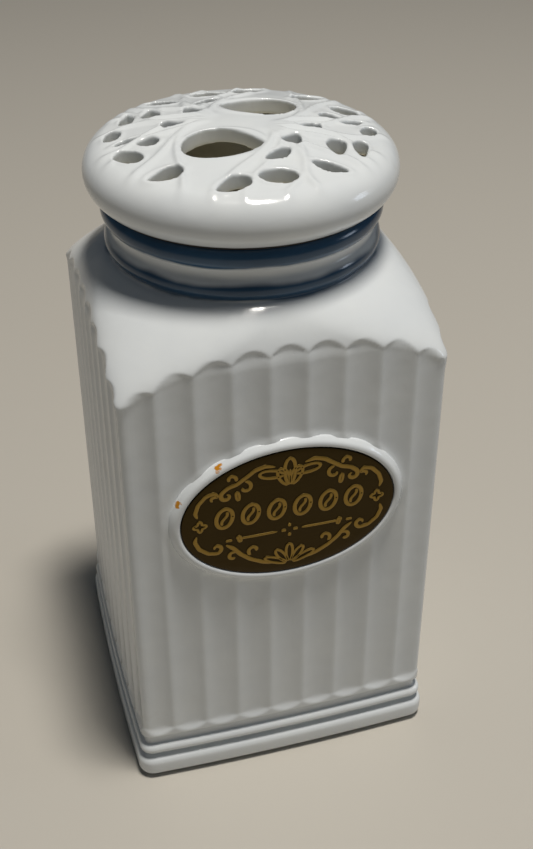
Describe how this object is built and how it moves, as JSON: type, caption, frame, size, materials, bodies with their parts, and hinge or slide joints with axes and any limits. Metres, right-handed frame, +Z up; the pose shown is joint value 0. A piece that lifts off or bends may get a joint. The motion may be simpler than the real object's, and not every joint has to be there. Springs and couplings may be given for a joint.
{
  "type": "lidded storage canister",
  "caption": "Square fluted glazed ceramic canister with a round banded neck, an oval brass name plate and a pierced lift-off lid.",
  "frame": {"origin": "middle of the square footprint, on the surface the canister stands on", "axes": "+Z up along the canister's axis, -Y out of the side with the name plate, +X to the right of that side"},
  "size_m": [0.132, 0.132, 0.267],
  "materials": {
    "white_glaze": "gloss glaze",
    "black_pad": "matt",
    "antiqued_brass": "antiqued and lightly brushed",
    "adhesive": "matt film",
    "beige_stoneware": "matt, unglazed",
    "cement": "matt",
    "black_rubber": "matt"
  },
  "bodies": {
    "jar": {"jar": "white_glaze", "base_pad": "black_pad", "name_plate": "antiqued_brass", "plate_adhesive": "adhesive"},
    "gasket": {"lid_gasket": "black_rubber"},
    "lid": {"lid_cap": "white_glaze", "lid_plug": "beige_stoneware", "plug_cement": "cement"}
  },
  "joints": [
    {"name": "lid_lift", "type": "slide", "parent": "jar", "child": "gasket", "axis": [0, 0, 1], "range_m": [0, 0.06]},
    {"name": "lid_turn", "type": "hinge", "parent": "gasket", "child": "lid", "pos_m": [0, 0, 0.241], "axis": [0, 0, 1], "continuous": true}
  ]
}
